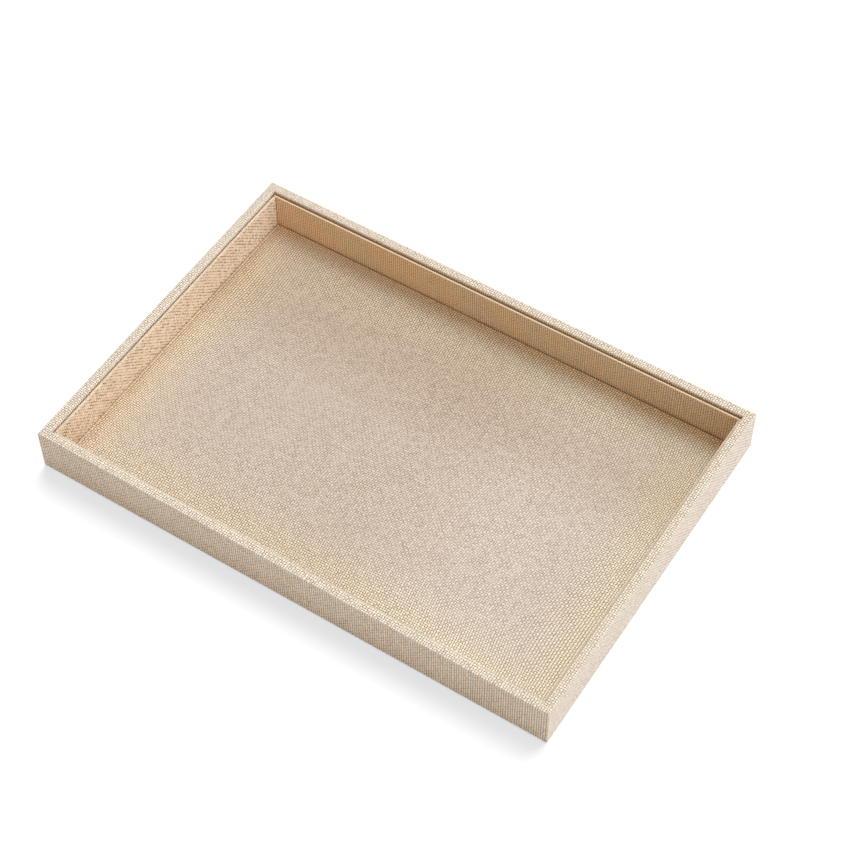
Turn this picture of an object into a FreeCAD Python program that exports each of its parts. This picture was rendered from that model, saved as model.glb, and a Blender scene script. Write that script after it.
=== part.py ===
"""Shallow linen-covered jewelry tray: a pinned board frame wrapped in linen, with linen-covered card liners
and a loose linen-covered floor pad. Millimetres, +X along the length, +Z up, origin at the bottom centre."""

import FreeCAD, Part

import math
import os
from collections import namedtuple

# Outside sizes over the cloth
TRAY_LENGTH = 350.0
TRAY_WIDTH = 240.0
TRAY_HEIGHT = 31.0

# Cloth
LINEN = 0.5
RIM_TURN_IN = 12.0
LINER_TURN_BEHIND = 8.0
PAD_TURN_UNDER = 10.0

# Board frame
RAIL_THICKNESS = 5.3
CORNER_RABBET = 2.5
BASE_RABBET = 3.0
BASE_THICKNESS = 2.0
BASE_FIT = 0.1
FELT = 0.6

# Inner wall liners. The back and left ones stand further off their rails than the others.
LINER_CARD = 0.5
LINER_DROP = 1.6
LINER_GAP = 0.15
WIDE_LINER_GAP = 0.9
LINER_FIT = 0.15

# Loose floor pad
PAD_CARD = 1.0
PAD_CLEARANCE = 0.5

# Pins
CORNER_PIN_DIAMETER = 1.2
CORNER_PIN_LENGTH = 18.0
CORNER_PIN_HEAD_DIAMETER = 2.2
CORNER_PIN_HEAD = 0.8
CORNER_PIN_FROM_EDGE = 7.0
BASE_PIN_DIAMETER = 0.7
BASE_PIN_LENGTH = 10.0
BASE_PIN_FROM_CORNER = 30.0
BASE_PIN_SPACING = 75.0

# Heights of the layers
RAIL_BOTTOM = LINEN
RAIL_TOP = TRAY_HEIGHT - LINEN
BASE_TOP = FELT + BASE_THICKNESS
LEDGE = BASE_TOP + LINEN
LINER_TOP = TRAY_HEIGHT - LINER_DROP
LINER_CARD_TOP = LINER_TOP - LINEN

# Depths inwards from the tray's outer face
RAIL_OUTER = LINEN
RAIL_INNER = RAIL_OUTER + RAIL_THICKNESS
LIP_INNER = RAIL_INNER - BASE_RABBET
RIM = RAIL_INNER + LINEN
BASE_EDGE = LIP_INNER + LINEN + BASE_FIT
LINER_THICKNESS = LINEN + LINER_CARD + LINEN

UP = FreeCAD.Vector(0, 0, 1)
ORIGIN = FreeCAD.Vector(0, 0, 0)

# A wall of the tray: its turn about Z from the front wall, the distance from the middle of the tray to its
# outer face, its length over the cloth, whether it is one of the two long walls, and how far its liner stands
# off the rim. The wall after it in the list is at its +X end, and the one before it at its -X end.
Side = namedtuple("Side", "name turn reach length long gap")
SIDES = [
    Side("front", 0, TRAY_WIDTH / 2, TRAY_LENGTH, True, LINER_GAP),
    Side("right", 90, TRAY_LENGTH / 2, TRAY_WIDTH, False, LINER_GAP),
    Side("back", 180, TRAY_WIDTH / 2, TRAY_LENGTH, True, WIDE_LINER_GAP),
    Side("left", 270, TRAY_LENGTH / 2, TRAY_WIDTH, False, WIDE_LINER_GAP),
]


def on_side(shape, side):
    """The shape, drawn with its depth along +Y from 0 and centred on X, set at its wall of the tray."""
    placed = shape.copy()
    placed.translate(FreeCAD.Vector(0, -side.reach, 0))
    placed.rotate(ORIGIN, UP, side.turn)
    return placed


def wall_box(ends, depth_from, depth_to, bottom, top):
    """A box along a wall, from one end to the other on X."""
    corner = FreeCAD.Vector(ends[0], depth_from, bottom)
    return Part.makeBox(ends[1] - ends[0], depth_to - depth_from, top - bottom, corner)


def panel(inset, bottom, top):
    """A flat box that stays an inset distance inside the tray's outer faces."""
    length = TRAY_LENGTH - 2 * inset
    width = TRAY_WIDTH - 2 * inset
    return Part.makeBox(length, width, top - bottom, FreeCAD.Vector(-length / 2, -width / 2, bottom))


def floor_panel(inset, bottom, top):
    """A flat box that stays an inset distance inside the faces of the liners."""
    front, right, back, left = (side.reach - liner_face(side) - inset for side in SIDES)
    return Part.makeBox(left + right, front + back, top - bottom, FreeCAD.Vector(-left, -front, bottom))


def cloth_on(path, ends):
    """Linen laid on the left of a path of (depth, height) points, drawn along a wall from end to end on X."""
    line = Part.makePolygon([FreeCAD.Vector(ends[0], depth, height) for depth, height in path])
    strip = line.makeOffset2D(LINEN, 0, True, True)
    return strip.extrude(FreeCAD.Vector(ends[1] - ends[0], 0, 0))


def mitred(shape, side):
    """The shape with both ends cut at 45 degrees towards the neighbouring walls."""
    half = side.length / 2
    outline = [(-half, 0), (half, 0), (half - RIM, RIM), (RIM - half, RIM), (-half, 0)]
    face = Part.Face(Part.makePolygon([FreeCAD.Vector(x, depth, 0) for x, depth in outline]))
    return shape.common(face.extrude(UP * TRAY_HEIGHT))


def rail(side):
    """One wall board. The long ones are rabbeted at their ends for the short ones, which run between them."""
    tongue = RAIL_THICKNESS - CORNER_RABBET
    half = side.length / 2 - RAIL_OUTER
    if not side.long:
        half -= tongue
    board = wall_box((-half, half), RAIL_OUTER, RAIL_INNER, RAIL_BOTTOM, RAIL_TOP)
    if side.long:
        for start in (-half, half - RAIL_THICKNESS):
            notch = (start, start + RAIL_THICKNESS)
            board = board.cut(wall_box(notch, RAIL_OUTER + tongue, RAIL_INNER, RAIL_BOTTOM, RAIL_TOP))
    return on_side(board, side).cut(panel(LIP_INNER, RAIL_BOTTOM, LEDGE))


def linen_wrap(side):
    """Linen round one rail: from the ledge over the base board, under the lip, up the outside, over the rim
    and down inside."""
    path = [
        (RAIL_INNER, RAIL_TOP - RIM_TURN_IN),
        (RAIL_INNER, RAIL_TOP),
        (RAIL_OUTER, RAIL_TOP),
        (RAIL_OUTER, RAIL_BOTTOM),
        (LIP_INNER, RAIL_BOTTOM),
        (LIP_INNER, LEDGE),
        (RAIL_INNER, LEDGE),
    ]
    return on_side(mitred(cloth_on(path, (-side.length / 2, side.length / 2)), side), side)


def liner_face(side):
    """Depth of the face of a wall's liner."""
    return RIM + side.gap + LINER_THICKNESS


def liner_ends(side):
    """Where a liner ends along its wall. The long liners fill the frame from end to end, and the short ones
    stand between them."""
    place = SIDES.index(side)
    neighbours = SIDES[place - 1], SIDES[(place + 1) % len(SIDES)]
    depths = [RIM + wall.gap if side.long else liner_face(wall) + LINER_FIT for wall in neighbours]
    return depths[0] - side.length / 2, side.length / 2 - depths[1]


def liner_card(side):
    """The card inside one inner wall liner, standing on the base board."""
    inner = liner_face(side) - LINEN
    card = wall_box(liner_ends(side), inner - LINER_CARD, inner, BASE_TOP, LINER_CARD_TOP)
    return on_side(card, side)


def liner_cover(side):
    """Linen up the face of one liner, over its top edge and down behind it."""
    inner = liner_face(side) - LINEN
    outer = inner - LINER_CARD
    path = [
        (inner, BASE_TOP),
        (inner, LINER_CARD_TOP),
        (outer, LINER_CARD_TOP),
        (outer, LINER_CARD_TOP - LINER_TURN_BEHIND),
    ]
    return on_side(cloth_on(path, liner_ends(side)), side)


def pad():
    """The loose floor panel: its card, and the linen over it, round its edges and turned under."""
    bottom = BASE_TOP
    top = bottom + PAD_CARD + 2 * LINEN
    card = floor_panel(PAD_CLEARANCE + LINEN, bottom + LINEN, top - LINEN)
    whole = floor_panel(PAD_CLEARANCE, bottom, top)
    upper_edges = [edge for edge in whole.Edges if edge.BoundBox.ZMin > top - LINEN]
    cover = whole.makeFillet(LINEN, upper_edges).cut(card)
    return card, cover.cut(floor_panel(PAD_CLEARANCE + PAD_TURN_UNDER, bottom, bottom + LINEN))


def corner_pins():
    """Headed pins through each end of the long rails into the short rails, two to a corner."""
    pins = []
    across = TRAY_LENGTH / 2 - RAIL_OUTER - RAIL_THICKNESS / 2
    inwards = FreeCAD.Vector(0, 1, 0)
    for side in SIDES:
        if not side.long:
            continue
        for x in (-across, across):
            for z in (RAIL_BOTTOM + CORNER_PIN_FROM_EDGE, RAIL_TOP - CORNER_PIN_FROM_EDGE):
                start = FreeCAD.Vector(x, RAIL_OUTER, z)
                shank = Part.makeCylinder(CORNER_PIN_DIAMETER / 2, CORNER_PIN_LENGTH, start, inwards)
                head = Part.makeCylinder(CORNER_PIN_HEAD_DIAMETER / 2, CORNER_PIN_HEAD, start, inwards)
                pins.append(on_side(shank.fuse(head).removeSplitter(), side))
    return pins


def base_pins():
    """Headless pins up through the base board into the rails, spread evenly along each wall."""
    pins = []
    depth = (BASE_EDGE + RAIL_INNER) / 2
    for side in SIDES:
        run = side.length - 2 * BASE_PIN_FROM_CORNER
        gaps = max(1, math.ceil(run / BASE_PIN_SPACING))
        for index in range(gaps + 1):
            start = FreeCAD.Vector(-run / 2 + run * index / gaps, depth, FELT)
            pins.append(on_side(Part.makeCylinder(BASE_PIN_DIAMETER / 2, BASE_PIN_LENGTH, start, UP), side))
    return pins


def build():
    """Every node of the tray, by name."""
    corner, base = Part.makeCompound(corner_pins()), Part.makeCompound(base_pins())
    pad_card, pad_cover = pad()
    nodes = {
        "base_board": panel(BASE_EDGE, FELT, BASE_TOP).cut(base),
        "base_felt": panel(BASE_EDGE, 0, FELT),
        "corner_pins": corner,
        "base_pins": base,
        "pad_card": pad_card,
        "pad_cover": pad_cover,
    }
    for side in SIDES:
        nodes["rail_" + side.name] = rail(side).cut(corner).cut(base)
        nodes["linen_wrap_" + side.name] = linen_wrap(side).cut(base)
        nodes["liner_card_" + side.name] = liner_card(side)
        nodes["liner_cover_" + side.name] = liner_cover(side)
    return nodes


os.makedirs("parts", exist_ok=True)
for name, shape in build().items():
    shape.exportStep("parts/" + name + ".step")
    print(name, "solids", len(shape.Solids), "volume", round(shape.Volume, 1), "valid", shape.isValid())
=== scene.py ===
import logging
import math
from collections.abc import Iterator
from contextlib import contextmanager
from dataclasses import dataclass, replace
from enum import Enum
from typing import Any, Optional, Union

import bpy
import numpy as np
from mathutils import Matrix, Vector


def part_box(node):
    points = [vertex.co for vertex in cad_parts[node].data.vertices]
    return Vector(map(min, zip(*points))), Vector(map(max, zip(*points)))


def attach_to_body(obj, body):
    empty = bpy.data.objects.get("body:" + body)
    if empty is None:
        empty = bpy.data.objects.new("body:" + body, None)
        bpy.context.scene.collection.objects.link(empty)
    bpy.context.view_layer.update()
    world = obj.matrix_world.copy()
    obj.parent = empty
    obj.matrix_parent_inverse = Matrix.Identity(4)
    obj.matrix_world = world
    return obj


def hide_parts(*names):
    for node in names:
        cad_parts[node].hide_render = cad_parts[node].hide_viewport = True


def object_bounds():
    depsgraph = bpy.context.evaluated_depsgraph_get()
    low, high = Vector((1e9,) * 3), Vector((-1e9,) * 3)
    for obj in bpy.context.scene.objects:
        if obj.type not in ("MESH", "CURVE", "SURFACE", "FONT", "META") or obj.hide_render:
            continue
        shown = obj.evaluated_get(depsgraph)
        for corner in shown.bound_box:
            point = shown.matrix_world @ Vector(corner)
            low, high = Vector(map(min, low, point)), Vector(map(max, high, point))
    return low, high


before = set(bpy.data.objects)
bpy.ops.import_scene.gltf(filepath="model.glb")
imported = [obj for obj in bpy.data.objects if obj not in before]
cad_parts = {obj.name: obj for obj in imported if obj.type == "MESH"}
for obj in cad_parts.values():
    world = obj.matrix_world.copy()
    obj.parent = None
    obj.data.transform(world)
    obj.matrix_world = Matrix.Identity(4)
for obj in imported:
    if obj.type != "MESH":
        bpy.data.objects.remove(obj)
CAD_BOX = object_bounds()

LOG = logging.getLogger("linen_tray")
MM = 0.001
WEAVE_MAP = "Weave"
BAKE_MAP = "OFBake"

# Distances and areas that count as none
ROUNDING = 1e-9
SLIVER = 1e-7
HAIR = 1e-6

Colour = tuple[float, float, float]
Value = Union["Signal", float]
WHITE: Colour = (1.0, 1.0, 1.0)


class Body(Enum):
    """The bodies that the pieces ride on."""

    TRAY = "tray"
    PAD = "pad"


class Slot(Enum):
    """The record's finishes, by name."""

    LINEN = "linen"
    FELT = "felt"


class Held(Enum):
    """How a cut of cloth is held."""

    STRETCHED = "stretched"
    LAID = "laid"


class Slack(Enum):
    """How far a liner's linen hangs off the back of its card."""

    TAUT = 0.0
    LOOSE = 0.15 * MM
    BAGGY = 0.75 * MM


class Wall(Enum):
    """A wall of the tray, by its turn about Z from the front wall, in degrees."""

    FRONT = 0
    RIGHT = 90
    BACK = 180
    LEFT = 270

    @property
    def label(self) -> str:
        """The wall's word in the names of nodes and pieces."""
        return self.name.lower()

    @property
    def turn(self) -> Matrix:
        """The turn from the wall's own axes to the tray's."""
        return Matrix.Rotation(math.radians(self.value), 3, "Z")

    @property
    def reach(self) -> float:
        """Distance from the middle of the tray to the wall's outer face."""
        return CAD_BOX[1].y if self in (Wall.FRONT, Wall.BACK) else CAD_BOX[1].x

    def local_box(self, node: str) -> tuple[Vector, Vector]:
        """A CAD node's box as the wall sees it.

        Args:
            node: The node's name.

        Returns:
            Its lowest and highest corner, as (along the wall, depth in from the outer face, height).
        """
        corners = [self.turn.inverted() @ corner + Vector((0, self.reach, 0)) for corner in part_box(node)]
        return Vector(map(min, *corners)), Vector(map(max, *corners))

    def placed(self, along: np.ndarray, depth: np.ndarray, height: np.ndarray) -> np.ndarray:
        """Points given in the wall's own axes, in the tray's frame.

        Args:
            along: Distances along the wall from its middle.
            depth: Depths in from the wall's outer face.
            height: Heights above the ground.

        Returns:
            The points, one to a row.
        """
        local = np.stack(np.broadcast_arrays(along, depth - self.reach, height), axis=-1)
        return local @ np.array(self.turn).T


class Signal:
    """A value in a finish's nodes, with Python's operators."""

    def __init__(self, graph: "FinishGraph", socket: bpy.types.NodeSocket) -> None:
        """Holds an output socket of a node in a graph."""
        self.graph = graph
        self.socket = socket

    def _math(self, operation: str, *values: Value) -> "Signal":
        """One Math node on these values."""
        return self.graph.add("ShaderNodeMath", {"operation": operation}, dict(enumerate(values)))

    def __add__(self, other: Value) -> "Signal":
        """self + other."""
        return self._math("ADD", self, other)

    def __radd__(self, other: float) -> "Signal":
        """other + self."""
        return self._math("ADD", other, self)

    def __sub__(self, other: Value) -> "Signal":
        """self - other."""
        return self._math("SUBTRACT", self, other)

    def __rsub__(self, other: float) -> "Signal":
        """other - self."""
        return self._math("SUBTRACT", other, self)

    def __mul__(self, other: Value) -> "Signal":
        """self * other."""
        return self._math("MULTIPLY", self, other)

    def __rmul__(self, other: float) -> "Signal":
        """other * self."""
        return self._math("MULTIPLY", other, self)

    def __mod__(self, other: Value) -> "Signal":
        """self % other."""
        return self._math("FLOORED_MODULO", self, other)

    def __pow__(self, other: Value) -> "Signal":
        """self ** other."""
        return self._math("POWER", self, other)

    def __abs__(self) -> "Signal":
        """abs(self)."""
        return self._math("ABSOLUTE", self)

    def floor(self) -> "Signal":
        """The whole number below."""
        return self._math("FLOOR", self)

    def larger(self, other: Value) -> "Signal":
        """The larger of two values."""
        return self._math("MAXIMUM", self, other)

    def smaller(self, other: Value) -> "Signal":
        """The smaller of two values."""
        return self._math("MINIMUM", self, other)

    def towards(self, other: "Signal", share: "Signal") -> "Signal":
        """This value where share is 0, the other where it is 1."""
        return self + share * (other - self)

    def eased(self, low: float, high: float) -> "Signal":
        """0 below low, 1 above high, and a smooth step between them."""
        ends = {"Value": self, "From Min": low, "From Max": high}
        return self.graph.add("ShaderNodeMapRange", {"interpolation_type": "SMOOTHSTEP"}, ends)


class FinishGraph:
    """The nodes of one finish."""

    # The sockets of a Mix node that take and give colours
    MIX_FIRST = 6
    MIX_SECOND = 7
    MIX_RESULT = 2

    def __init__(self, tree: bpy.types.NodeTree) -> None:
        """Starts an empty graph in a node tree."""
        self.tree = tree
        tree.nodes.clear()

    def add(
        self,
        kind: str,
        settings: Optional[dict[str, Any]] = None,
        inputs: Optional[dict[Union[str, int], Any]] = None,
        output: Union[str, int] = 0,
    ) -> Signal:
        """Adds a node.

        Args:
            kind: The node's type.
            settings: Its properties, set first. The stops of a ramp are (place, colour) pairs.
            inputs: Values or signals for its sockets, by name or number.
            output: The output to hand back.

        Returns:
            That output as a signal.
        """
        node = self.tree.nodes.new(kind)
        for name, value in (settings or {}).items():
            if name == "stops":
                elements = node.color_ramp.elements
                while len(elements) < len(value):
                    elements.new(1.0)
                for element, (place, colour) in zip(elements, value):
                    element.position, element.color = place, (*colour, 1.0)
            else:
                setattr(node, name, value)
        for name, value in (inputs or {}).items():
            if isinstance(value, Signal):
                self.tree.links.new(value.socket, node.inputs[name])
            else:
                node.inputs[name].default_value = value
        return Signal(self, node.outputs[output] if len(node.outputs) else None)

    def parts(self, vector: Signal) -> tuple[Signal, Signal, Signal]:
        """The three numbers of a vector."""
        node = self.add("ShaderNodeSeparateXYZ", inputs={0: vector}).socket.node
        return tuple(Signal(self, socket) for socket in node.outputs)

    def vector(self, x: Value, y: Value, z: Value = 0.0) -> Signal:
        """A vector of three numbers."""
        return self.add("ShaderNodeCombineXYZ", inputs={0: x, 1: y, 2: z})

    def place(self) -> Signal:
        """The point on the surface, in the tray's frame."""
        return self.add("ShaderNodeTexCoord", output="Object")

    def cloud(self, where: Signal, scale: float = 1.0, detail: float = 2.0, roughness: float = 0.5) -> Signal:
        """Soft noise, about 0 to 1 with a mean of a half.

        Args:
            where: The vector that it is read at.
            scale: Blobs to a unit of that vector.
            detail: Octaves of finer noise.
            roughness: How much the finer noise counts.

        Returns:
            The noise's value.
        """
        inputs = {"Vector": where, "Scale": scale, "Detail": detail, "Roughness": roughness}
        return self.add("ShaderNodeTexNoise", inputs=inputs)

    def ramp(self, value: Signal, stops: list[tuple[float, Colour]]) -> Signal:
        """A colour for a value."""
        return self.add("ShaderNodeValToRGB", {"stops": stops}, {0: value})

    def blend(self, share: Value, first: Any, second: Any, way: str = "MIX") -> Signal:
        """Mixes two colours.

        Args:
            share: How much of the second one counts.
            first: A colour or a signal.
            second: A colour or a signal.
            way: The kind of mix.

        Returns:
            The mixed colour.
        """
        first, second = (c if isinstance(c, Signal) else (*c, 1.0) for c in (first, second))
        settings = {"data_type": "RGBA", "blend_type": way}
        inputs = {0: share, self.MIX_FIRST: first, self.MIX_SECOND: second}
        return self.add("ShaderNodeMix", settings, inputs, self.MIX_RESULT)

    def bump(self, height: Signal, depth: float, strength: float) -> Signal:
        """A normal for a height map whose 0 to 1 spans this depth in metres."""
        return self.add("ShaderNodeBump", inputs={"Strength": strength, "Distance": depth, "Height": height})

    def surface(self, shader: Signal, kind: str = "ShaderNodeOutputMaterial") -> None:
        """Ends the graph in a surface shader."""
        self.add(kind, inputs={"Surface": shader})


def new_finish(name: str) -> tuple[bpy.types.Material, FinishGraph]:
    """An empty material and its graph."""
    material = bpy.data.materials.new(name)
    material.use_nodes = True
    return material, FinishGraph(material.node_tree)


@dataclass(frozen=True)
class LinenFinish:
    """Plain-woven linen yarn. The weave follows the cloth's own map, which counts threads."""

    name: str
    hollow: Colour
    yarn: Colour
    crest: Colour
    # How much each mark of the weave counts
    contrast: float = 0.85
    ribs: float = 0.9
    holes: float = 0.7
    weft: float = 0.34
    unevenness: float = 0.16
    slubs: float = 0.06
    dyeing: float = 0.03
    fibres: float = 0.9
    # How round a yarn is across, and how far it dips along its run
    roundness: float = 0.95
    dip: float = 0.7
    # Means over a crossing, taken off so that a mark leaves the average colour alone
    mean_rib: float = 0.766
    mean_hole: float = 1 / 9
    mean_weft: float = 2 / 9
    # Paces of the noise along the threads, and a number that keeps weft yarns apart from warp yarns
    slub_across: float = 0.91
    slub_along: float = 0.13
    fibre_across: float = 2.6
    fibre_twist: float = 0.9
    fibre_along: float = 1.7
    fuzz: float = 0.6
    weft_number: float = 53.0
    # The level of plain cloth, and the levels of the three colours
    plain_level: float = 0.52
    hollow_level: float = 0.08
    yarn_level: float = 0.46
    crest_level: float = 0.82
    # The fine relief, and what it is made of
    relief: float = 0.22 * MM
    relief_strength: float = 0.8
    crown_relief: float = 0.8
    slub_relief: float = 0.25
    fibre_relief: float = 0.2
    # The surface
    roughness: float = 0.94
    polish: float = 0.14
    gloss: float = 0.25
    sheen: float = 0.08
    sheen_roughness: float = 0.6

    def contrast_at(self, graph: FinishGraph) -> Value:
        """How strongly the weave shows at a point."""
        return self.contrast

    def tone_and_painted_light(self, graph: FinishGraph, colour: Signal) -> Signal:
        """The yarn's colour with the tones and the painted light and shade that a subclass adds; plain linen
        has none.
        """
        return colour

    def material(self) -> bpy.types.Material:
        """Makes the finish.

        Returns:
            The material.
        """
        material, graph = new_finish(self.name)
        u, v, _ = graph.parts(graph.add("ShaderNodeUVMap", {"uv_map": WEAVE_MAP}))
        column, row = u.floor(), v.floor()
        from_column, from_row = abs(u - column - 0.5) * 2, abs(v - row - 0.5) * 2
        weft_over = (column + row) % 2
        across = from_column.towards(from_row, weft_over)
        along = from_row.towards(from_column, weft_over)
        yarn = column.towards(row + self.weft_number, weft_over)
        side = u.towards(v, weft_over)
        run = v.towards(u, weft_over)
        height = (1 - self.roundness * across * across) ** 0.5 * (1 - self.dip * along * along)
        rib = (height**0.5 - self.mean_rib) * self.ribs
        hole = ((from_column * from_row) ** 2 - self.mean_hole) * self.holes
        spot = (1 - from_column * from_column) * (1 - from_row * from_row)
        dark_weft = (weft_over * spot - self.mean_weft) * self.weft
        slub = graph.cloud(graph.vector(yarn * self.slub_across, run * self.slub_along))
        dye = graph.add("ShaderNodeTexWhiteNoise", {"noise_dimensions": "1D"}, {"W": yarn})
        crossing = {"Vector": graph.vector(column, row)}
        knot = graph.add("ShaderNodeTexWhiteNoise", {"noise_dimensions": "2D"}, crossing)
        twisted = graph.vector(side * self.fibre_across + run * self.fibre_twist, run * self.fibre_along)
        fibre = graph.cloud(twisted, roughness=self.fuzz)
        # The level follows the yarn's height: painted shade in its dips and in the hollows between threads,
        # and a painted highlight on its crowns, over the weave's own dark gaps. The weft-over crossings are
        # darker: a darker weft yarn, which also paints the shade that a side light gives them.
        level = (
            self.plain_level
            + self.contrast_at(graph) * (rib - hole - dark_weft)
            + (slub - 0.5) * self.slubs
            + (dye - 0.5) * self.dyeing
            + (knot - 0.5) * self.unevenness
            + (fibre - 0.5) * self.fibres
        )
        stops = [
            (self.hollow_level, self.hollow),
            (self.yarn_level, self.yarn),
            (self.crest_level, self.crest),
        ]
        relief = height * self.crown_relief + slub * self.slub_relief + fibre * self.fibre_relief
        shader = graph.add(
            "ShaderNodeBsdfPrincipled",
            inputs={
                "Base Color": self.tone_and_painted_light(graph, graph.ramp(level, stops)),
                "Roughness": self.roughness - height * self.polish,
                "Normal": graph.bump(relief, self.relief, self.relief_strength),
                "Specular IOR Level": self.gloss,
                "Sheen Weight": self.sheen,
                "Sheen Roughness": self.sheen_roughness,
            },
        )
        graph.surface(shader)
        return material


@dataclass(frozen=True)
class RailLinenFinish(LinenFinish):
    """Linen of the rails, browned with painted shade where it is turned in behind the back liner."""

    # The tray's highest corner
    corner: tuple[float, float, float] = (1.0, 1.0, 1.0)
    # Depth of the turned-in cloth, and the soft edges of the painted shade on it
    inside: float = 5.8 * MM
    shade_edge: float = 0.4 * MM
    shade_top: float = 1.4 * MM
    unshaded_top: float = 0.7 * MM
    # Where the back wall begins, as shares of half the width
    back_from: float = 0.9
    back_to: float = 0.92
    # The colour of the painted shade in the gap behind the back liner
    dulled: Colour = (0.86, 0.71, 0.58)

    def tone_and_painted_light(self, graph: FinishGraph, colour: Signal) -> Signal:
        """The yarn's colour with painted shade on the turned-in cloth behind the back liner."""
        x, y, z = graph.parts(graph.place())
        half_length, half_width, top = self.corner
        depth = (half_length - abs(x)).smaller(half_width - y)
        turned_in = depth.eased(self.inside - self.shade_edge, self.inside)
        at_back = y.eased(self.back_from * half_width, self.back_to * half_width)
        low = 1 - z.eased(top - self.shade_top, top - self.unshaded_top)
        # Painted shade: browner and darker low on the turned-in cloth in the gap behind the back liner
        dull_patch = graph.blend(turned_in * at_back * low, WHITE, self.dulled)
        return graph.blend(1.0, colour, dull_patch, "MULTIPLY")


@dataclass(frozen=True)
class LinerLinenFinish(LinenFinish):
    """Linen of the wall liners, with a painted highlight along its top fold and a little uneven in colour
    along its length.
    """

    top: float = 0.0
    half: float = 1.0
    west: Colour = WHITE
    east: Colour = WHITE
    # How strongly the painted highlight along the top fold shows, how far below the top it starts and is
    # full, and its colour
    wear: float = 0.0
    highlight_from: float = 0.8 * MM
    highlight_to: float = 0.3 * MM
    highlight_colour: Colour = (1.0, 0.80, 0.56)

    def tone_and_painted_light(self, graph: FinishGraph, colour: Signal) -> Signal:
        """The yarn's colour, uneven along its length, with a painted highlight along the top fold."""
        x, _, height = graph.parts(graph.place())
        tone = graph.blend(x.eased(-self.half, self.half), self.west, self.east)
        # The painted highlight's share, full just below the top fold
        share = height.eased(self.top - self.highlight_from, self.top - self.highlight_to) * self.wear
        return graph.blend(share, graph.blend(1.0, colour, tone, "MULTIPLY"), self.highlight_colour)


@dataclass(frozen=True)
class PadLinenFinish(LinenFinish):
    """Linen of the floor pad.

    It is flattened and grey in its middle. Painted light makes it paler towards the right and painted shade
    browner towards its back, with a strip of painted warm shade at the foot of the back liner and a strip of
    painted light at the foot of the left liner.
    """

    half: tuple[float, float] = (1.0, 1.0)
    # The strip along the edges where the weave still stands up
    edge: float = 48.0 * MM
    edge_contrast: float = 2.7
    edge_tone: Colour = (0.95, 0.945, 0.88)
    middle_tone: Colour = (0.85, 0.845, 0.89)
    # Where the painted light towards the right is full, as a share of half the length
    painted_light_at: float = 0.7
    painted_light: Colour = (1.14, 1.19, 1.26)
    # Where the painted shade towards the back is full, eases off and ends, as shares of half the width
    back_shade_at: float = 0.55
    back_shade_to: float = 0.66
    back_shade_end: float = 0.95
    painted_back_shade: Colour = (0.88, 0.84, 0.78)
    # A strip of painted warm shade at the foot of the back liner
    back_strip: float = 14.0 * MM
    painted_warm_shade: Colour = (1.08, 1.0, 0.91)
    # A strip of painted light at the foot of the left liner
    left_strip: float = 24.0 * MM
    painted_left_light: Colour = (1.10, 1.06, 1.045)

    def middle(self, graph: FinishGraph) -> Signal:
        """0 along the pad's edges and 1 in its middle."""
        x, y, _ = graph.parts(graph.place())
        return (self.half[0] - abs(x)).smaller(self.half[1] - abs(y)).eased(0.0, self.edge)

    def contrast_at(self, graph: FinishGraph) -> Value:
        """How strongly the weave shows at a point."""
        return self.edge_contrast + (self.contrast - self.edge_contrast) * self.middle(graph)

    def tone_and_painted_light(self, graph: FinishGraph, colour: Signal) -> Signal:
        """The yarn's colour with the grey middle, and painted light and shade."""
        x, y, _ = graph.parts(graph.place())
        half_x, half_y = self.half
        back_shade = y.eased(0.0, self.back_shade_at * half_y)
        back_shade = back_shade * (1 - y.eased(self.back_shade_to * half_y, self.back_shade_end * half_y))
        # The grey middle, then painted light to the right, painted shade towards the back, painted warm shade
        # at the back liner's foot and painted light at the left liner's foot
        tones = (
            graph.blend(self.middle(graph), self.edge_tone, self.middle_tone),
            graph.blend(x.eased(0.0, self.painted_light_at * half_x), WHITE, self.painted_light),
            graph.blend(back_shade, WHITE, self.painted_back_shade),
            graph.blend(y.eased(half_y - self.back_strip, half_y), WHITE, self.painted_warm_shade),
            graph.blend(x.eased(-half_x, self.left_strip - half_x), self.painted_left_light, WHITE),
        )
        for tone in tones:
            colour = graph.blend(1.0, colour, tone, "MULTIPLY")
        return colour


@dataclass(frozen=True)
class PressedFibreFinish:
    """Board, card or felt: pressed fibre with a mottle and short flecks."""

    name: str
    ground: Colour
    fleck: Colour
    fleck_size: float
    pressing: float
    roughness: float
    # Shares of flecks and hairs in the colour and in the relief, and where their colour sets in
    flecks_seen: float = 0.7
    hairs_seen: float = 0.3
    flecks_felt: float = 0.6
    hairs_felt: float = 0.4
    fleck_from: float = 0.38
    fleck_to: float = 0.66
    # Blobs to a metre
    hairs_across: float = 2600.0
    hairs_along: float = 420.0
    mottles: float = 60.0
    # The pale mottle
    mottle_from: float = 0.4
    mottle_to: float = 0.8
    mottling: float = 0.2
    paleness: float = 0.5
    # The surface
    roughness_spread: float = 0.2
    relief_strength: float = 0.6
    gloss: float = 0.3

    def material(self) -> bpy.types.Material:
        """Makes the finish.

        Returns:
            The material.
        """
        material, graph = new_finish(self.name)
        place = graph.place()
        flecks = graph.cloud(place, 1 / self.fleck_size, detail=4.0, roughness=0.7)
        mottle = graph.cloud(place, self.mottles, detail=3.0)
        x, y, z = graph.parts(place)
        hairs = graph.cloud(graph.vector(x * self.hairs_across, y * self.hairs_along, z * self.hairs_across))
        share = (flecks * self.flecks_seen + hairs * self.hairs_seen).eased(self.fleck_from, self.fleck_to)
        colour = graph.blend(share, self.ground, self.fleck)
        pale = graph.blend(self.paleness, self.ground, WHITE)
        colour = graph.blend(mottle.eased(self.mottle_from, self.mottle_to) * self.mottling, colour, pale)
        relief = flecks * self.flecks_felt + hairs * self.hairs_felt
        shader = graph.add(
            "ShaderNodeBsdfPrincipled",
            inputs={
                "Base Color": colour,
                "Roughness": self.roughness + (flecks - 0.5) * self.roughness_spread,
                "Normal": graph.bump(relief, self.pressing, self.relief_strength),
                "Specular IOR Level": self.gloss,
            },
        )
        graph.surface(shader)
        return material


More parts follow.
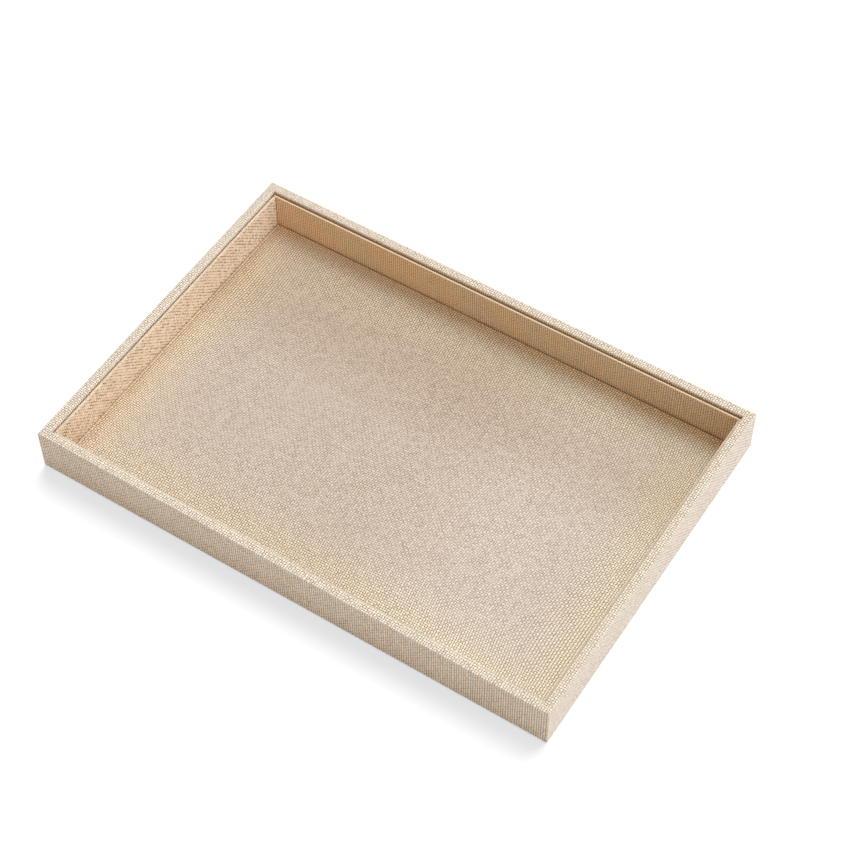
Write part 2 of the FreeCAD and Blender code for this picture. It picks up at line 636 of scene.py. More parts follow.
@dataclass(frozen=True)
class PinSteelFinish:
    """Drawn steel wire."""

    name: str = "pin steel"
    metal: Colour = (0.56, 0.55, 0.53)
    dull: Colour = (0.33, 0.31, 0.29)
    # Blobs to a metre
    stains: float = 900.0
    grooves: float = 5200.0
    # Where the dull colour sets in
    dull_from: float = 0.4
    dull_to: float = 0.75
    # The surface
    roughness: float = 0.26
    stain_roughness: float = 0.2
    groove: float = 0.02 * MM
    groove_strength: float = 0.4

    def material(self) -> bpy.types.Material:
        """Makes the finish.

        Returns:
            The material.
        """
        material, graph = new_finish(self.name)
        place = graph.place()
        dull_patch = graph.cloud(place, self.stains, detail=3.0)
        drawn = graph.cloud(place, self.grooves)
        shader = graph.add(
            "ShaderNodeBsdfPrincipled",
            inputs={
                "Base Color": graph.blend(dull_patch.eased(self.dull_from, self.dull_to), self.metal, self.dull),
                "Metallic": 1.0,
                "Roughness": self.roughness + dull_patch * self.stain_roughness,
                "Normal": graph.bump(drawn, self.groove, self.groove_strength),
            },
        )
        graph.surface(shader)
        return material


def seen_directly(graph: FinishGraph) -> Signal:
    """1 where the camera, a mirror or glass looks at the surface, and 0 for the light that it sends on."""
    rays = [
        graph.add("ShaderNodeLightPath", output=ray)
        for ray in ("Is Camera Ray", "Is Glossy Ray", "Is Transmission Ray")
    ]
    return rays[0].larger(rays[1]).larger(rays[2])


@dataclass(frozen=True)
class StudioFloorFinish:
    """White paper that stays white to the eye and still shows the tray's soft shadow."""

    name: str = "studio paper"
    bounce: Colour = (0.9, 0.9, 0.9)
    shown: Colour = (0.816, 0.710, 0.631)
    glow: Colour = (0.334, 0.445, 0.525)

    def material(self) -> bpy.types.Material:
        """Makes the finish.

        Returns:
            The material.
        """
        material, graph = new_finish(self.name)
        paper = graph.add("ShaderNodeBsdfDiffuse", inputs={"Color": (*self.bounce, 1.0)})
        bright = graph.add("ShaderNodeBsdfDiffuse", inputs={"Color": (*self.shown, 1.0)})
        glow = graph.add("ShaderNodeEmission", inputs={"Color": (*self.glow, 1.0), "Strength": 1.0})
        lit = graph.add("ShaderNodeAddShader", inputs={0: bright, 1: glow})
        graph.surface(graph.add("ShaderNodeMixShader", inputs={0: seen_directly(graph), 1: paper, 2: lit}))
        return material


def pick_up(piece: bpy.types.Object) -> None:
    """Makes a piece the only selected and the active one."""
    bpy.ops.object.select_all(action="DESELECT")
    piece.select_set(True)
    bpy.context.view_layer.objects.active = piece


@contextmanager
def at_the_bench(piece: bpy.types.Object, faces: Optional[np.ndarray] = None) -> Iterator[None]:
    """Opens a piece alone in edit mode, and closes it after the work.

    Args:
        piece: The piece.
        faces: A mask of the faces to select, or None for all of them.
    """
    pick_up(piece)
    mesh = piece.data
    chosen = np.ones(len(mesh.polygons), bool) if faces is None else faces
    bpy.context.tool_settings.mesh_select_mode = (False, False, True)
    mesh.vertices.foreach_set("select", np.zeros(len(mesh.vertices), bool))
    mesh.edges.foreach_set("select", np.zeros(len(mesh.edges), bool))
    mesh.polygons.foreach_set("select", chosen)
    bpy.ops.object.mode_set(mode="EDIT")
    yield
    bpy.ops.object.mode_set(mode="OBJECT")


def numbers(items: Any, name: str, kind: type, width: int = 1) -> np.ndarray:
    """Reads one property of all items of a mesh.

    Args:
        items: The mesh's vertices, loops or faces.
        name: The property.
        kind: The type of number.
        width: How many numbers one item has.

    Returns:
        The numbers, one item to a row where an item has several.
    """
    found = np.empty(len(items) * width, kind)
    items.foreach_get(name, found)
    return found.reshape(-1, width) if width > 1 else found


def thread_counts(mesh: bpy.types.Mesh) -> np.ndarray:
    """The column and row that the weave's map gives each corner of the faces."""
    return numbers(mesh.uv_layers[WEAVE_MAP].uv, "vector", np.float32, 2)


def face_corners(mesh: bpy.types.Mesh) -> tuple[np.ndarray, np.ndarray]:
    """Each face's first corner, and how many corners it has."""
    return (
        numbers(mesh.polygons, "loop_start", np.int32),
        numbers(mesh.polygons, "loop_total", np.int32),
    )


def set_points(piece: bpy.types.Object, points: np.ndarray) -> None:
    """Moves a piece's vertices to points, one to a row."""
    piece.data.vertices.foreach_set("co", points.astype(np.float32).ravel())


def length_of(path: np.ndarray) -> float:
    """Length of a path of points, one to a row."""
    return float(np.linalg.norm(np.diff(path, axis=0), axis=1).sum())


@dataclass(frozen=True)
class Fold:
    """The line that cloth follows round a board, in a plane across the board."""

    corners: tuple[tuple[float, float], ...]
    lift: float
    pitch: float

    def rows(self) -> tuple[np.ndarray, np.ndarray, list[int]]:
        """Where each row of threads lies.

        The cloth is on the left of the line. It rounds an outer corner in one row, and meets in an inner one.

        Returns:
            The rows' edges as points, the direction along which each may stray, which is zero at folds, and
            the rows that round an outer corner.
        """
        points = [np.array(corner) for corner in self.corners]
        ways = [(b - a) / np.linalg.norm(b - a) for a, b in zip(points, points[1:])]
        lifts = [self.lift * np.array((-way[1], way[0])) for way in ways]
        runs = [[a + rise, b + rise] for a, b, rise in zip(points, points[1:], lifts)]
        for index in range(len(runs) - 1):
            first, second = ways[index], ways[index + 1]
            if first[0] * second[1] > first[1] * second[0]:
                meet = points[index + 1] + lifts[index] + lifts[index + 1]
                runs[index][1] = runs[index + 1][0] = meet
        edges, free, rounds = [], [], []
        for (start, end), way in zip(runs, ways):
            count = max(1, round(np.linalg.norm(end - start) / self.pitch))
            for step in range(count + 1):
                edge = start + (end - start) * step / count
                if edges and np.allclose(edge, edges[-1], atol=ROUNDING):
                    continue
                if edges and step == 0:
                    rounds.append(len(edges) - 1)
                edges.append(edge)
                free.append(way if 0 < step < count else way * 0)
        return np.array(edges), np.array(free), rounds


@dataclass(frozen=True)
class Loom:
    """Linen cloth as a mesh: one cell to each crossing of two threads, raised in its middle."""

    face: bpy.types.Material
    back: bpy.types.Material
    thickness: float
    warp_pitch: float = 1.50 * MM
    weft_pitch: float = 1.42 * MM
    warp_rise: float = 0.25 * MM
    weft_rise: float = 0.18 * MM
    core: float = 0.2 * MM
    # How far a crossing strays, and how far it may, as shares of the pitch
    stray: float = 0.07
    most_stray: float = 0.2
    smooth_below: float = 60.0
    # How much of a thread's crossing shows where it rounds a fold
    crest_share: float = 0.4
    # The layout for the bake: the face below, the back above it, and the cut edges in the far corner
    bake_margin: float = 0.004
    face_share: float = 0.8
    back_gap: float = 0.01
    back_share: float = 0.15
    edges_at: float = 0.985
    edges_size: float = 0.01

    @property
    def lift(self) -> float:
        """Height of the hollows between the threads above the board."""
        return self.thickness - self.warp_rise

    def flat_cut(
        self, name: str, columns: int, rows: int, folds: tuple[list[int], list[int]]
    ) -> tuple[bpy.types.Object, np.ndarray, np.ndarray]:
        """Lays out a flat cut, with a map that counts its threads.

        Args:
            name: The piece's name.
            columns: Threads along it.
            rows: Threads across it.
            folds: The columns and the rows that round a fold, where only the crests of the threads show.

        Returns:
            The piece, and the column and row of each vertex.
        """
        bpy.ops.object.select_all(action="DESELECT")
        bpy.ops.mesh.primitive_grid_add(x_subdivisions=columns, y_subdivisions=rows, size=2.0)
        cloth = bpy.context.object
        cloth.name = cloth.data.name = name
        for finish in (self.face, self.back):
            cloth.data.materials.append(finish)
        place = numbers(cloth.data.vertices, "co", np.float32, 3)
        column = np.rint((place[:, 0] + 1) / 2 * columns).astype(int)
        row = np.rint((place[:, 1] + 1) / 2 * rows).astype(int)
        corner = numbers(cloth.data.loops, "vertex_index", np.int32)
        counts = np.stack([column[corner], row[corner]], axis=1).astype(np.float32)
        cells = np.repeat(counts.reshape(-1, 4, 2).min(axis=1), 4, axis=0)
        for axis, folded in enumerate(folds):
            middle = cells[:, axis] + 0.5
            crests = middle + (counts[:, axis] - middle) * self.crest_share
            counts[:, axis] = np.where(np.isin(cells[:, axis], folded), crests, counts[:, axis])
        cloth.data.uv_layers[0].name = WEAVE_MAP
        cloth.data.uv_layers[0].uv.foreach_set("vector", counts.ravel())
        return cloth, column, row

    def strays(self, seed: int, columns: int, rows: int) -> np.ndarray:
        """How far each crossing strays along and across the cut, as shares of the pitch.

        Args:
            seed: The seed of the draw.
            columns: Threads along the cut.
            rows: Threads across it.

        Returns:
            Two shares for each row and column of crossings, zero along both ends of the columns.
        """
        draw = np.random.default_rng(seed)
        moves = draw.normal(0.0, self.stray, (rows + 1, columns + 1, 2))
        moves[:, :, 0] += draw.normal(0.0, self.stray, columns + 1)
        moves[:, :, 1] += draw.normal(0.0, self.stray, (rows + 1, 1))
        moves[:, (0, -1)] = 0.0
        return moves.clip(-self.most_stray, self.most_stray)

    def thicken(self, cloth: bpy.types.Object) -> None:
        """Gives a folded cut its thickness below the threads, and raises the threads on its face."""
        pick_up(cloth)
        solid = cloth.modifiers.new("thickness", "SOLIDIFY")
        solid.thickness, solid.offset = self.core, -1.0
        solid.use_even_offset = solid.use_quality_normals = True
        solid.material_offset = solid.material_offset_rim = 1
        bpy.ops.object.modifier_apply(modifier=solid.name)
        self.raise_threads(cloth)

    def raise_threads(self, cloth: bpy.types.Object) -> None:
        """Raises the middle of each crossing on the cloth's face, higher where the warp is on top."""
        for weft_over, rise in enumerate((self.warp_rise, self.weft_rise)):
            mesh = cloth.data
            first, count = face_corners(mesh)
            middle = np.add.reduceat(thread_counts(mesh), first) / count[:, None]
            on_face = numbers(mesh.polygons, "material_index", np.int32) == 0
            with at_the_bench(cloth, on_face & (np.floor(middle).sum(axis=1) % 2 == weft_over)):
                bpy.ops.mesh.poke(offset=rise, use_relative_offset=False, center_mode="MEDIAN")

    def finish(self, cloth: bpy.types.Object, columns: int, rows: int) -> None:
        """Smooths a cut's shading and lays it out flat for its bake.

        Args:
            cloth: The piece.
            columns: Threads along its cut.
            rows: Threads across it.
        """
        pick_up(cloth)
        bpy.ops.object.shade_smooth_by_angle(angle=math.radians(self.smooth_below))
        mesh = cloth.data
        spot = thread_counts(mesh) / (columns, rows)
        first, count = face_corners(mesh)
        face = np.repeat(np.arange(len(first)), count)
        after = np.arange(1, len(face) + 1)
        after[first + count - 1] = first
        turn = spot[:, 0] * spot[after, 1] - spot[after, 0] * spot[:, 1]
        edge = (np.abs(np.add.reduceat(turn, first)) < SLIVER)[face]
        behind = (numbers(mesh.polygons, "material_index", np.int32) == 1)[face]
        angle = 2 * math.pi * (np.arange(len(face)) - first[face]) / count[face]
        corner = self.edges_at + self.edges_size * np.stack([np.cos(angle), np.sin(angle)], axis=1)
        laid = self.bake_margin + (1 - 2 * self.bake_margin) * spot
        above = self.face_share + self.back_gap + self.back_share * spot[:, 1]
        laid[:, 1] = np.where(behind, above, self.face_share * laid[:, 1])
        laid[edge] = corner[edge]
        layer = mesh.uv_layers.new(name=BAKE_MAP)
        layer.uv.foreach_set("vector", laid.astype(np.float32).ravel())


def attach(piece: bpy.types.Object, body: Body, slot: Slot, *nodes: str) -> None:
    """Sets a finished piece on its body, in place of CAD nodes.

    Args:
        piece: The piece.
        body: The body that it rides on.
        slot: The record's finish for the piece; not used.
        nodes: The CAD nodes that it stands for.
    """
    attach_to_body(piece, body.value)
    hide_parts(*nodes)


@dataclass
class WallCloth:
    """Linen folded along one wall of the tray."""

    wall: Wall
    loom: Loom

    def fold(
        self, name: str, corners: tuple[tuple[float, float], ...], start: float, length: float, seed: int
    ) -> tuple[bpy.types.Object, tuple[int, int], float]:
        """Weaves a cut and folds it along the wall.

        Args:
            name: The piece's name.
            corners: The line that it follows, as (depth, height).
            start: Where it starts along the wall.
            length: Its length along the wall.
            seed: The seed of its threads' straying.

        Returns:
            The piece, its threads along and across, and the width of its flat cut.
        """
        edges, free, folds = Fold(corners, self.loom.lift, self.loom.weft_pitch).rows()
        columns, rows = round(length / self.loom.warp_pitch), len(edges) - 1
        cloth, column, row = self.loom.flat_cut(name, columns, rows, ([], folds))
        moves = self.loom.strays(seed, columns, rows)[row, column]
        along = start + length * (column / columns) + moves[:, 0] * self.loom.warp_pitch
        across = edges[row] + free[row] * moves[:, 1:] * self.loom.weft_pitch
        set_points(cloth, self.wall.placed(along, across[:, 0], across[:, 1]))
        self.loom.thicken(cloth)
        return cloth, (columns, rows), length_of(edges)


@dataclass
class RailWrap(WallCloth):
    """Linen glued round one wall board, mitred at both ends."""

    turn_in: float = 12.0 * MM
    lip: float = 2.3 * MM
    seam: float = 0.06 * MM

    def build(self) -> bpy.types.Object:
        """Folds the cut round its board.

        Returns:
            The finished piece.
        """
        node, board = "linen_wrap_" + self.wall.label, "rail_" + self.wall.label
        low, high = self.wall.local_box(board)
        half = self.wall.local_box(node)[1].x
        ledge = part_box("base_board")[1].z + self.loom.thickness
        lip = low.y + self.lip
        corners = (
            (high.y, ledge),
            (lip, ledge),
            (lip, low.z),
            (low.y, low.z),
            (low.y, high.z),
            (high.y, high.z),
            (high.y, high.z - self.turn_in),
        )
        name = node.replace("linen_wrap", "rail_linen")
        cloth, threads, width = self.fold(name, corners, -half, 2 * half, self.wall.value)
        for end in (-1, 1):
            self.cut_mitre(cloth, end, half - self.seam)
        self.loom.finish(cloth, *threads)
        attach(cloth, Body.TRAY, Slot.LINEN, node)
        return cloth

    def cut_mitre(self, cloth: bpy.types.Object, end: int, half: float) -> None:
        """Cuts one end at 45 degrees towards the next wall.

        Args:
            cloth: The folded cloth.
            end: 1 or -1, the end along the wall.
            half: Distance from the wall's middle to the cut at the outer face.
        """
        with at_the_bench(cloth):
            bpy.ops.mesh.bisect(
                plane_co=self.wall.placed(np.array(end * half), np.array(0.0), np.array(0.0)),
                plane_no=self.wall.turn @ Vector((end, 1, 0)).normalized(),
                use_fill=True,
                clear_outer=True,
                threshold=SLIVER,
            )


@dataclass
class WallLiner(WallCloth):
    """Linen over one inner wall card: up its face, over its top and down behind it."""

    slack: Slack
    shoulder: float = 0.55 * MM
    turn_behind: float = 8.0 * MM
    seed: int = 1000

    def build(self) -> bpy.types.Object:
        """Folds the cut over its card. Behind it the cloth hangs slack from a shoulder below the top.

        Returns:
            The finished piece.
        """
        node, card = "liner_cover_" + self.wall.label, "liner_card_" + self.wall.label
        low, high = self.wall.local_box(card)
        behind = low.y - self.slack.value
        corners = (
            (behind, high.z - self.turn_behind),
            (behind, high.z - self.shoulder),
            (low.y, high.z),
            (high.y, high.z),
            (high.y, low.z),
        )
        name, length = node.replace("cover", "linen"), high.x - low.x
        cloth, threads, width = self.fold(name, corners, low.x, length, self.seed + self.wall.value)
        self.loom.finish(cloth, *threads)
        attach(cloth, Body.TRAY, Slot.LINEN, node)
        return cloth


@dataclass
class FloorPad:
    """Linen over the loose floor card, turned under on all four sides and mitred below."""

    loom: Loom
    turn_under: float = 10.0 * MM
    # How much fuller the cloth is at its two ends
    fullness: float = 0.86 * MM
    # The waves in which the threads wander, with paces as shares of the long wave's
    wander: float = 1.2 * MM
    wander_length: float = 150.0 * MM
    sway: float = 0.8
    sway_pace: float = 0.7
    ripple: float = 0.6
    ripple_pace: float = 1.9
    cross_pace: float = 1.7
    cross_lean: float = 0.6
    # How far the weft is pulled askew, and the strip along the edges where it comes straight
    skew: float = 4.5 * MM
    skew_edge: float = 42.0 * MM
    # Points of the flaps that are joined, and how squarely a face looks down
    weld: float = 0.01 * MM
    downwards: float = -0.9
    seed: int = 2000

    def build(self) -> bpy.types.Object:
        """Folds the cut over its card.

        Returns:
            The finished piece.
        """
        low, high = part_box("pad_card")
        half, middle = (high - low) / 2, (high + low) / 2
        across_x, folds_x = self.edge_to_edge(half.x, low.z, high.z, self.loom.warp_pitch)
        across_y, folds_y = self.edge_to_edge(half.y, low.z, high.z, self.loom.weft_pitch)
        columns, rows = len(across_x) - 1, len(across_y) - 1
        flap = int(np.flatnonzero(np.isclose(across_x[:, 1], high.z + self.loom.lift))[0])
        cloth, column, row = self.loom.flat_cut("pad_linen", columns, rows, (folds_x, folds_y))
        set_points(cloth, self.folded(column, row, across_x, across_y, flap) + (middle.x, middle.y, 0.0))
        self.close_corners(cloth, columns, rows, flap)
        self.loom.thicken(cloth)
        self.clear_underside(cloth)
        self.loom.finish(cloth, columns, rows)
        attach(cloth, Body.PAD, Slot.LINEN, "pad_cover")
        return cloth

    def edge_to_edge(
        self, half: float, bottom: float, top: float, pitch: float
    ) -> tuple[np.ndarray, list[int]]:
        """The rows of threads from one turned-under edge over the card to the other.

        Args:
            half: Half the card's size in this direction.
            bottom: Height of the card's underside.
            top: Height of the card's upper side.
            pitch: Spacing of the threads.

        Returns:
            The rows' edges, as (distance from the middle, height), and the rows that round the card's edges.
        """
        inner = half + self.loom.thickness - self.turn_under
        upwards = ((-inner, bottom), (-half, bottom), (-half, top))
        corners = upwards + tuple((-place, height) for place, height in reversed(upwards))
        edges, _, folds = Fold(corners, self.loom.lift, pitch).rows()
        return edges, folds

    def folded(
        self, column: np.ndarray, row: np.ndarray, across_x: np.ndarray, across_y: np.ndarray, flap: int
    ) -> np.ndarray:
        """Where each crossing lies once the flaps are folded down and under.

        Args:
            column: Each vertex's column.
            row: Each vertex's row.
            across_x: The columns' edges, as (x, height).
            across_y: The rows' edges, as (y, height).
            flap: How many rows a flap has.

        Returns:
            The vertices' points.
        """
        last_column, last_row = len(across_x) - 1, len(across_y) - 1
        top_x, top_y = -across_x[flap, 0], -across_y[flap, 0]
        past_x = np.maximum(flap - column, column - (last_column - flap)).clip(0)
        past_y = np.maximum(flap - row, row - (last_row - flap)).clip(0)
        x, y = across_x[column, 0], across_y[row, 0]
        moves = self.loom.strays(self.seed, last_column, last_row)[row, column]
        drift_x, drift_y = self.drift(x, y, top_x, top_y)
        inside = (past_x == 0) & (past_y == 0)
        inside &= (np.abs(x) < top_x - HAIR) & (np.abs(y) < top_y - HAIR)
        sides_x = np.abs(across_x[flap - past_y, 0]) / top_x
        sides_y = np.abs(across_y[flap - past_x, 0]) / top_y
        height = np.where(past_x > 0, across_x[column, 1], across_y[row, 1])
        ends = self.fullness * np.sign(x) * (np.abs(x * sides_x) > top_x - HAIR)
        return np.stack(
            [
                x * sides_x + ends + inside * (drift_x + moves[:, 0] * self.loom.warp_pitch),
                y * sides_y + inside * (drift_y + moves[:, 1] * self.loom.weft_pitch),
                height,
            ],
            axis=1,
        )

    def drift(
        self, x: np.ndarray, y: np.ndarray, half_x: float, half_y: float
    ) -> tuple[np.ndarray, np.ndarray]:
        """How far the threads wander from straight lines, fading out towards the folded edges.

        Args:
            x: The crossings' places along the pad.
            y: The crossings' places across it.
            half_x: Half the top's length.
            half_y: Half the top's width.

        Returns:
            The wander along x and along y.
        """
        fade = (np.minimum(half_x - np.abs(x), half_y - np.abs(y)) / self.skew_edge).clip(0, 1)
        fade = fade**2 * (3 - 2 * fade)
        turn = 2 * math.pi / self.wander_length
        long_wave = np.sin(turn * x + self.sway * np.sin(turn * self.sway_pace * y))
        short_wave = self.ripple * np.sin(turn * self.ripple_pace * x + turn * y)
        cross_wave = self.ripple * np.sin(turn * self.cross_pace * y - turn * self.cross_lean * x)
        swing = self.skew * np.sin(math.pi * y / half_y)
        return fade * (swing + self.wander * cross_wave), fade * self.wander * (long_wave + short_wave)

    def close_corners(self, cloth: bpy.types.Object, columns: int, rows: int, flap: int) -> None:
        """Cuts away the corner squares and joins the flaps along their mitres.

        Args:
            cloth: The folded cut.
            columns: Its columns.
            rows: Its rows.
            flap: How many rows a flap has.
        """
        middle = thread_counts(cloth.data).reshape(-1, 4, 2).mean(axis=1)
        outside = np.abs(middle - (columns / 2, rows / 2)) > (columns / 2 - flap, rows / 2 - flap)
        with at_the_bench(cloth, outside.all(axis=1)):
            bpy.ops.mesh.delete(type="FACE")
            bpy.ops.mesh.select_all(action="SELECT")
            bpy.ops.mesh.remove_doubles(threshold=self.weld)

    def clear_underside(self, cloth: bpy.types.Object) -> None:
        """Makes the hidden back of the cloth on top of the card one face."""
        faces = cloth.data.polygons
        back = numbers(faces, "material_index", np.int32) == 1
        downwards = numbers(faces, "normal", np.float32, 3)[:, 2] < self.downwards
        above = numbers(faces, "center", np.float32, 3)[:, 2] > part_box("pad_card")[1].z
        with at_the_bench(cloth, back & downwards & above):
            bpy.ops.mesh.delete(type="FACE")
            bpy.ops.mesh.select_all(action="DESELECT")
            bpy.context.tool_settings.mesh_select_mode = (False, True, False)
            bpy.ops.mesh.select_non_manifold(use_wire=False, use_multi_face=False, use_non_contiguous=False)
            bpy.ops.mesh.edge_face_add()


@dataclass
class FeltUnderside:
    """Felt glued under the base board, which the tray stands on."""

    finish: bpy.types.Material
    cell: float = 2.4 * MM
    nap: float = 0.08 * MM
    smooth_below: float = 50.0
    seed: int = 7

    def build(self) -> bpy.types.Object:
        """Lays the felt.

        Returns:
            The finished piece.
        """
        low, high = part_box("base_felt")
        size = high - low
        bpy.ops.object.select_all(action="DESELECT")
        bpy.ops.mesh.primitive_grid_add(
            x_subdivisions=round(size.x / self.cell), y_subdivisions=round(size.y / self.cell), size=1.0
        )
        felt = bpy.context.object
        felt.name = felt.data.name = "underside_felt"
        felt.data.materials.append(self.finish)
        with at_the_bench(felt):
            bpy.ops.transform.resize(value=(size.x, size.y, 1.0))
            bpy.ops.mesh.flip_normals()
        points = numbers(felt.data.vertices, "co", np.float32, 3)
        points[:, 2] = np.random.default_rng(self.seed).uniform(low.z, self.nap, len(points))
        set_points(felt, points)
        solid = felt.modifiers.new("thickness", "SOLIDIFY")
        solid.thickness, solid.offset = size.z - self.nap, -1.0
        bpy.ops.object.modifier_apply(modifier=solid.name)
        bpy.ops.object.shade_smooth_by_angle(angle=math.radians(self.smooth_below))
        attach(felt, Body.TRAY, Slot.FELT, "base_felt")
        return felt


@dataclass
class BoardFrame:
    """Boards, cards and pins inside the cloth, which keep their CAD solids."""

    fibreboard: bpy.types.Material
    hardboard: bpy.types.Material
    card: bpy.types.Material
    steel: bpy.types.Material

    def dress(self) -> list[bpy.types.Object]:
        """Gives each of them its finish.

        Returns:
            The dressed pieces.
        """
        finishes = {"base_board": self.hardboard, "pad_card": self.card}
        finishes |= {name: self.steel for name in ("corner_pins", "base_pins")}
        finishes |= {"rail_" + wall.label: self.fibreboard for wall in Wall}
        finishes |= {"liner_card_" + wall.label: self.card for wall in Wall}
        pieces = [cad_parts[name] for name in finishes]
        for piece, finish in zip(pieces, finishes.values()):
            if not piece.material_slots:
                piece.data.materials.append(finish)
            for slot in piece.material_slots:
                slot.material = finish
        return pieces


@dataclass
class Studio:
    """Floor, lamps and camera."""

    azimuth: float = 33.1357
    elevation: float = 53.0583
    roll: float = -0.5234
    distance: float = 1287.673 * MM
    target: tuple[float, float, float] = (7.429 * MM, 17.858 * MM, 15.0 * MM)
    lens: float = 91.236
    sensor: float = 36.0
    key_from: tuple[float, float, float] = (-0.05, 0.56, 0.80)
    key_strength: float = 2.26
    key_spread: float = 48.0
    side_from: tuple[float, float, float] = (0.96, -0.10, 0.20)
    side_strength: float = 1.18
    side_spread: float = 30.0
    key_tint: Colour = (0.88, 1.0, 1.12)
    side_tint: Colour = (0.90, 1.04, 1.32)
    sky: float = 0.40
    sky_tint: Colour = (1.20, 1.0, 0.80)
    floor_half: float = 3.0

    def build(self) -> None:
        """Sets the stage."""
        self.lay_floor()
        self.hang_lamps()
        self.set_camera()
        bpy.context.scene.view_settings.view_transform = "Standard"

    def lay_floor(self) -> None:
        """Lays the white paper floor."""
        bpy.ops.object.select_all(action="DESELECT")
        bpy.ops.mesh.primitive_plane_add(size=2 * self.floor_half)
        floor = bpy.context.object
        floor.name = floor.data.name = "studio_floor"
        floor.data.materials.append(StudioFloorFinish().material())

    def hang_lamps(self) -> None:
        """Hangs the key light and the side light, and lights the room."""
        self.hang_lamp("key_light", self.key_from, self.key_strength, self.key_spread, self.key_tint)
        self.hang_lamp("side_light", self.side_from, self.side_strength, self.side_spread, self.side_tint)
        world = bpy.data.worlds.new("studio_room")
        world.use_nodes = True
        graph = FinishGraph(world.node_tree)
        light = graph.add(
            "ShaderNodeBackground", inputs={"Color": (*self.sky_tint, 1.0), "Strength": self.sky}
        )
        white = graph.add("ShaderNodeBackground", inputs={"Color": (*WHITE, 1.0), "Strength": 1.0})
        shown = graph.add("ShaderNodeMixShader", inputs={0: seen_directly(graph), 1: light, 2: white})
        graph.surface(shown, "ShaderNodeOutputWorld")
        bpy.context.scene.world = world

    def hang_lamp(
        self, name: str, source: tuple[float, float, float], strength: float, spread: float, tint: Colour
    ) -> None:
        """Hangs one wide, far lamp.

        Args:
            name: The lamp's name.
            source: The direction that it shines from.
            strength: Its light on a surface that faces it.
            spread: How wide it looks from the tray, in degrees.
            tint: Its colour.
        """
        bpy.ops.object.light_add(type="SUN")
        lamp = bpy.context.object
        lamp.name = lamp.data.name = name
        lamp.data.energy, lamp.data.angle, lamp.data.color = strength, math.radians(spread), tint
        lamp.rotation_euler = Vector(source).to_track_quat("Z", "Y").to_euler()

    def set_camera(self) -> None:
        """Sets the camera at the photograph's angle."""
        turn, rise, roll = (math.radians(a) for a in (self.azimuth, self.elevation, self.roll))
        back = Vector((math.sin(turn) * math.cos(rise), -math.cos(turn) * math.cos(rise), math.sin(rise)))
        right = (-back).cross(Vector((0, 0, 1))).normalized()
        up = right.cross(-back)
        right, up = (
            math.cos(roll) * right + math.sin(roll) * up,
            -math.sin(roll) * right + math.cos(roll) * up,
        )
        bpy.ops.object.camera_add()
        camera = bpy.context.object
        camera.name = "photo_camera"
        camera.data.lens, camera.data.sensor_width = self.lens, self.sensor
        camera.data.sensor_fit = "HORIZONTAL"
        axes = Matrix((right, up, back)).transposed().to_4x4()
        camera.matrix_world = Matrix.Translation(Vector(self.target) + back * self.distance) @ axes
        bpy.context.scene.camera = camera


def rail_linen() -> RailLinenFinish:
    """Oatmeal linen of the rails."""
    return RailLinenFinish(
        "oatmeal linen",
        hollow=(0.17, 0.10, 0.05),
        yarn=(0.75, 0.61, 0.455),
        crest=(0.98, 0.89, 0.75),
        contrast=1.95,
        unevenness=0.24,
        corner=tuple(CAD_BOX[1]),
    )


def liner_linens() -> tuple[LinerLinenFinish, LinerLinenFinish, LinerLinenFinish]:
    """Linen of the liners: plain, a browner, warmer copy for the back wall that paints the shade it sits in,
    and a paler copy for the left wall that paints the light on it.
    """
    plain = LinerLinenFinish(
        "liner linen",
        hollow=(0.18, 0.09, 0.04),
        yarn=(0.68, 0.54, 0.39),
        crest=(0.93, 0.81, 0.65),
        contrast=0.7,
        top=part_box("liner_cover_back")[1].z,
    )
    # Painted shade: the back liner's copy is browner and warmer, and has a strong painted highlight on its
    # top fold
    painted_shade_linen = replace(
        plain,
        name="toasted liner linen",
        yarn=(0.79, 0.54, 0.325),
        crest=(0.94, 0.76, 0.515),
        contrast=1.55,
        wear=0.95,
        half=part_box("pad_card")[1].x,
        west=(1.06, 1.01, 0.94),
        east=(0.94, 1.0, 1.02),
    )
    # Painted light: the left liner's copy is paler
    painted_light = replace(
        plain,
        name="faded liner linen",
        yarn=(0.92, 0.645, 0.405),
        crest=(1.0, 0.89, 0.665),
        contrast=0.9,
        weft=0.8,
        unevenness=0.35,
        wear=0.15,
    )
    return plain, painted_shade_linen, painted_light


def pad_linen() -> PadLinenFinish:
    """Linen of the floor pad."""
    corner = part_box("pad_card")[1]
    return PadLinenFinish(
        "pad linen",
        hollow=(0.15, 0.08, 0.04),
        yarn=(0.70, 0.55, 0.40),
        crest=(0.95, 0.83, 0.67),
        unevenness=0.2,
        half=(corner.x, corner.y),
    )


def pasted_linen() -> LinenFinish:
    """The back of the linen, dull with paste."""
    return LinenFinish(
        "pasted back", hollow=(0.30, 0.22, 0.14), yarn=(0.66, 0.55, 0.43), crest=(0.78, 0.69, 0.56)
    )


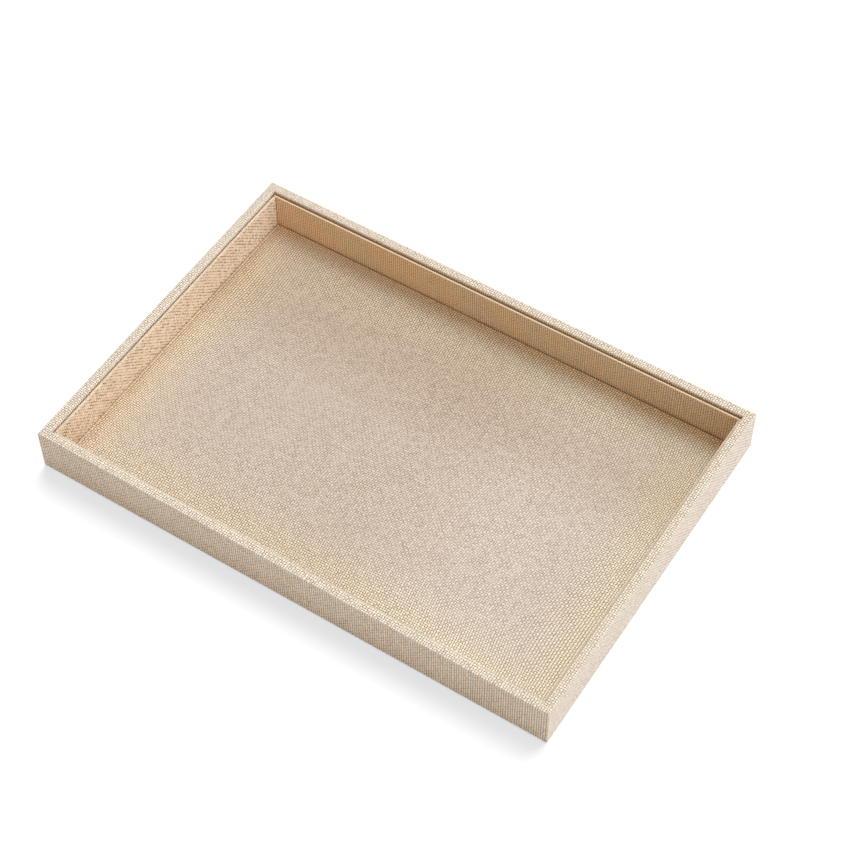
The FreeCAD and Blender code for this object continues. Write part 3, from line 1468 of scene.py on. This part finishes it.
def felt_finish() -> PressedFibreFinish:
    """Taupe felt."""
    return PressedFibreFinish(
        "taupe felt",
        ground=(0.30, 0.25, 0.20),
        fleck=(0.40, 0.34, 0.28),
        fleck_size=0.9 * MM,
        pressing=0.2 * MM,
        roughness=0.95,
    )


def board_frame() -> BoardFrame:
    """The boards, cards and pins with their finishes."""
    fibreboard = PressedFibreFinish(
        "fibreboard",
        ground=(0.45, 0.31, 0.19),
        fleck=(0.58, 0.43, 0.29),
        fleck_size=0.7 * MM,
        pressing=0.06 * MM,
        roughness=0.85,
    )
    hardboard = PressedFibreFinish(
        "hardboard",
        ground=(0.24, 0.14, 0.08),
        fleck=(0.33, 0.21, 0.12),
        fleck_size=0.9 * MM,
        pressing=0.05 * MM,
        roughness=0.6,
    )
    card = PressedFibreFinish(
        "grey card",
        ground=(0.42, 0.40, 0.37),
        fleck=(0.52, 0.50, 0.46),
        fleck_size=0.6 * MM,
        pressing=0.03 * MM,
        roughness=0.9,
    )
    return BoardFrame(*(finish.material() for finish in (fibreboard, hardboard, card, PinSteelFinish())))


def main() -> None:
    """Builds the tray's cloth, dresses its boards and sets the stage."""
    logging.basicConfig(level=logging.INFO, format="%(name)s: %(message)s")
    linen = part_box("rail_front")[0].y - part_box("linen_wrap_front")[0].y
    dulled = pasted_linen().material()
    outer, plain, painted_shade_linen, painted_light, floor = (
        Loom(face.material(), dulled, linen) for face in (rail_linen(), *liner_linens(), pad_linen())
    )
    # The back liner takes the copy with painted shade, and the left liner the copy with painted light
    linings = {Wall.FRONT: plain, Wall.RIGHT: plain, Wall.BACK: painted_shade_linen, Wall.LEFT: painted_light}
    slacks = {
        Wall.FRONT: Slack.LOOSE,
        Wall.RIGHT: Slack.LOOSE,
        Wall.BACK: Slack.TAUT,
        Wall.LEFT: Slack.BAGGY,
    }
    pieces = [RailWrap(wall, outer).build() for wall in Wall]
    pieces += [WallLiner(wall, linings[wall], slacks[wall]).build() for wall in Wall]
    pieces.append(FloorPad(floor).build())
    pieces.append(FeltUnderside(felt_finish().material()).build())
    pieces += board_frame().dress()
    for piece in pieces:
        LOG.info("%s: %d faces in %s", piece.name, len(piece.data.polygons), piece.active_material.name)
    Studio().build()


if __name__ == "__main__":
    main()
